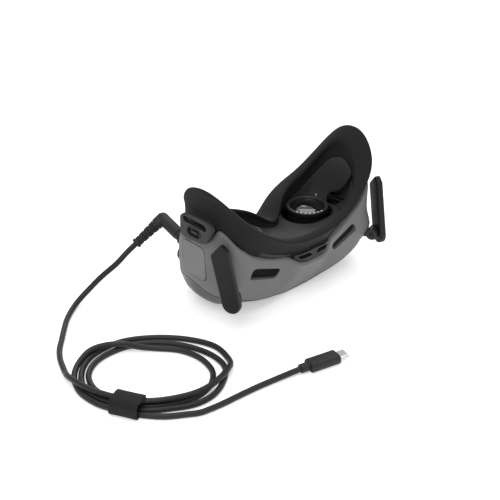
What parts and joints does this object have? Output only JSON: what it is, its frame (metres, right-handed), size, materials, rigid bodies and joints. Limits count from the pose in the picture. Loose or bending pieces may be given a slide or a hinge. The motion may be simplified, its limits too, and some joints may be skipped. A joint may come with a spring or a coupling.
{
  "type": "video flying goggles with charging lead",
  "caption": "Head-worn video goggles lying face side up, with soft face seal, sliding lenses, focus knobs, folding antennas and a plugged-in charging lead in tied loops.",
  "frame": {"origin": "on the table, under the middle of the goggles as they lie on their visor; the cable and its plugs are left out of that middle", "axes": "+X to the wearer's left, -Y to the forehead side, +Z away from the visor towards the face"},
  "size_m": [0.2719, 0.1772, 0.0998],
  "materials": {
    "shell": "fine matte texture",
    "touch_panel": "smooth matte",
    "visor": "satin dark cover",
    "board": "matte dark grey",
    "dark_plastic": "matte charcoal",
    "black_plastic": "matte black",
    "black_gloss": "gloss black window",
    "antenna": "fine matte charcoal",
    "foam": "soft smooth-skinned foam",
    "mesh": "fine black wire mesh",
    "lens_glass": "coated optical lens",
    "lamp": "small light guide",
    "steel": "plain steel",
    "aluminium": "anodised",
    "circuit": "circuit board",
    "cable": "satin black sheath",
    "cable_mould": "satin black overmould",
    "tie_fabric": "hook-and-loop tape"
  },
  "bodies": {
    "goggles": {"main_shell": "shell", "side_cover": "shell", "touch_side_panel": "touch_panel", "front_visor": "visor", "lens_board": "board", "foam_frame": "dark_plastic", "center_vent_frame": "dark_plastic", "face_foam": "foam", "wear_sensor": "black_gloss", "status_light": "lamp", "rail_forehead": "steel", "rail_nose": "steel", "main_board": "circuit", "heat_sink": "aluminium", "fan_housing": "black_plastic", "usb_c_port": "steel", "card_slot_cover": "dark_plastic", "dc_jack": "black_plastic", "dc_plug_barrel": "steel", "dc_plug_body": "cable_mould", "dc_strain_relief": "cable_mould", "cable_lead": "cable", "cable_tail": "cable", "cable_coil": "cable", "cable_tie": "tie_fabric", "usb_plug_body": "cable_mould", "usb_plug_shell": "steel", "shell_screw_1": "steel", "shell_screw_2": "steel", "shell_screw_3": "steel", "shell_screw_4": "steel", "front_camera_left": "black_gloss", "front_camera_right": "black_gloss", "vent_mesh_left": "mesh", "vent_mesh_right": "mesh", "strap_bracket_left": "dark_plastic", "strap_bracket_right": "dark_plastic", "antenna_base_left": "dark_plastic", "antenna_base_right": "dark_plastic"},
    "carriage_left": {"ipd_carriage_left": "black_plastic"},
    "carriage_right": {"ipd_carriage_right": "black_plastic"},
    "optic_left": {"lens_barrel_left": "black_plastic", "lens_left": "lens_glass", "display_module_left": "circuit"},
    "optic_right": {"lens_barrel_right": "black_plastic", "lens_right": "lens_glass", "display_module_right": "circuit"},
    "knob_left": {"focus_knob_left": "dark_plastic", "knob_shaft_left": "steel"},
    "knob_right": {"focus_knob_right": "dark_plastic", "knob_shaft_right": "steel"},
    "fan": {"fan_rotor": "black_plastic"},
    "menu_button": {"menu_button": "dark_plastic"},
    "back_button": {"back_button": "dark_plastic"},
    "antenna_left": {"antenna_left": "antenna", "antenna_pin_left": "steel"},
    "antenna_right": {"antenna_right": "antenna", "antenna_pin_right": "steel"}
  },
  "joints": [
    {"name": "ipd_slide_left", "type": "slide", "parent": "goggles", "child": "carriage_left", "axis": [1, 0, 0], "range_m": [-0.004, 0.004]},
    {"name": "ipd_slide_right", "type": "slide", "parent": "goggles", "child": "carriage_right", "axis": [-1, 0, 0], "range_m": [-0.004, 0.004]},
    {"name": "focus_knob_turn_left", "type": "hinge", "parent": "carriage_left", "child": "knob_left", "pos_m": [0.05, 0.035, 0.025], "axis": [0, 1, 0], "range_deg": [-80, 20]},
    {"name": "focus_knob_turn_right", "type": "hinge", "parent": "carriage_right", "child": "knob_right", "pos_m": [-0.05, 0.035, 0.025], "axis": [0, -1, 0], "range_deg": [-80, 20]},
    {"name": "focus_slide_left", "type": "slide", "parent": "carriage_left", "child": "optic_left", "axis": [0, 0, 1], "range_m": [-0.003, 0.00075]},
    {"name": "focus_slide_right", "type": "slide", "parent": "carriage_right", "child": "optic_right", "axis": [0, 0, 1], "range_m": [-0.003, 0.00075]},
    {"name": "antenna_hinge_left", "type": "hinge", "parent": "goggles", "child": "antenna_left", "pos_m": [0.0673, -0.0322, 0.0255], "axis": [0.9063, 0.4226, 0], "range_deg": [0, 80]},
    {"name": "antenna_hinge_right", "type": "hinge", "parent": "goggles", "child": "antenna_right", "pos_m": [-0.0673, -0.0322, 0.0255], "axis": [0.9063, -0.4226, 0], "range_deg": [0, 80]},
    {"name": "fan_spin", "type": "hinge", "parent": "goggles", "child": "fan", "pos_m": [0, -0.002, 0.016], "axis": [0, 0, 1], "continuous": true},
    {"name": "menu_button_press", "type": "slide", "parent": "goggles", "child": "menu_button", "axis": [0, -1, 0], "range_m": [0, 0.0007], "stiffness_N_per_m": 900},
    {"name": "back_button_press", "type": "slide", "parent": "goggles", "child": "back_button", "axis": [0, -1, 0], "range_m": [0, 0.0007], "stiffness_N_per_m": 900}
  ],
  "couplings": [
    {"joint": "focus_knob_turn_left", "follows": "focus_slide_left", "rad_per_m": 454.55},
    {"joint": "focus_knob_turn_right", "follows": "focus_slide_right", "rad_per_m": 454.55}
  ]
}
